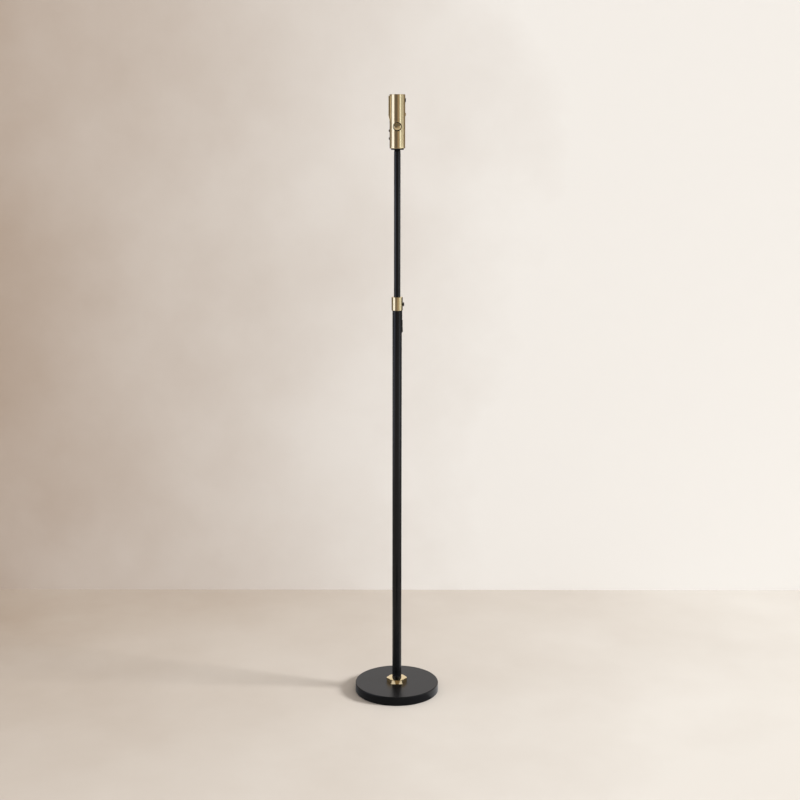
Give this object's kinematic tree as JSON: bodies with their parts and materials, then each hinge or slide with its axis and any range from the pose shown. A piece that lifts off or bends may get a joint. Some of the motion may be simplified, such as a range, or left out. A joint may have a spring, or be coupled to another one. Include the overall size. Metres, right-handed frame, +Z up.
{
  "type": "adjustable floor lamp",
  "caption": "Slim floor lamp with a round weighted base, a telescopic black pole with a brass clamp collar, and a brass cylinder light head that swivels and tilts.",
  "frame": {"origin": "centre of the foot on the floor, on the axis of the pole", "axes": "+Z up the pole; -Y is the front; +X is the side of the clamp screw and the switch"},
  "size_m": [0.202, 0.202, 1.4252],
  "materials": {
    "black_powder_coat": "satin black powder coat",
    "polished_brass": "polished, lacquered",
    "black_plastic": "moulded, fine texture",
    "black_oxide_steel": "black oxide",
    "zinc_steel": "zinc plated",
    "iron": "as cast",
    "rubber": "matt sheet",
    "nylon": "natural",
    "black_aluminium": "black anodised",
    "bare_aluminium": "extruded",
    "circuit_board": "white solder mask",
    "contact_dome": "stamped",
    "led_phosphor": "phosphor resin",
    "opal_acrylic": "frosted opal"
  },
  "bodies": {
    "base": {"base_cover": "black_powder_coat", "base_weight": "iron", "base_pad": "rubber", "cord_grommet": "black_plastic", "base_nipple": "zinc_steel", "base_washer": "zinc_steel", "base_lock_nut": "zinc_steel", "pole_foot_nut": "polished_brass", "tube_foot_plug": "zinc_steel", "lower_tube_bottom": "black_powder_coat", "tube_joiner": "zinc_steel", "lower_tube_top": "black_powder_coat", "collar": "polished_brass", "guide_bush": "nylon", "clamp_pad": "nylon", "switch_bezel": "black_plastic", "rocker_pin": "zinc_steel", "switch_board": "circuit_board", "switch_domes": "contact_dome"},
    "clamp_screw": {"clamp_screw": "black_oxide_steel"},
    "switch_rocker": {"switch_rocker": "black_plastic"},
    "upper_pole": {"upper_tube": "black_powder_coat", "tail_guide": "nylon", "swivel_bush": "black_plastic"},
    "swivel": {"swivel_stem": "black_powder_coat", "swivel_spring": "zinc_steel", "swivel_clip": "black_oxide_steel"},
    "head": {"head_shell": "polished_brass", "head_top_cap": "polished_brass", "head_bottom_cap": "black_plastic", "window_bezel": "polished_brass", "diffuser": "opal_acrylic", "heat_sink": "bare_aluminium", "led_board": "circuit_board", "led_chips": "led_phosphor", "carrier_screw_upper": "black_oxide_steel", "carrier_screw_lower": "polished_brass", "pivot_block": "black_aluminium", "block_screws": "black_oxide_steel", "pivot_bolt": "polished_brass", "pivot_nut": "polished_brass", "friction_washers": "nylon"}
  },
  "joints": [
    {"name": "pole_height", "type": "slide", "parent": "base", "child": "upper_pole", "axis": [0, 0, 1], "range_m": [-0.24, 0.1]},
    {"name": "head_swivel", "type": "hinge", "parent": "upper_pole", "child": "swivel", "pos_m": [0, 0, 1.29081], "axis": [0, 0, 1], "range_deg": [-170, 170]},
    {"name": "head_tilt", "type": "hinge", "parent": "swivel", "child": "head", "pos_m": [0, 0, 1.35363], "axis": [0, -1, 0], "range_deg": [0, 90]},
    {"name": "clamp_turn", "type": "hinge", "parent": "base", "child": "clamp_screw", "pos_m": [0.0134, 0, 0.9493], "axis": [1, 0, 0], "range_deg": [-360, 360]},
    {"name": "switch_press", "type": "hinge", "parent": "base", "child": "switch_rocker", "pos_m": [0.0105, 0, 0.8986], "axis": [0, 1, 0], "range_deg": [0, 2]}
  ]
}
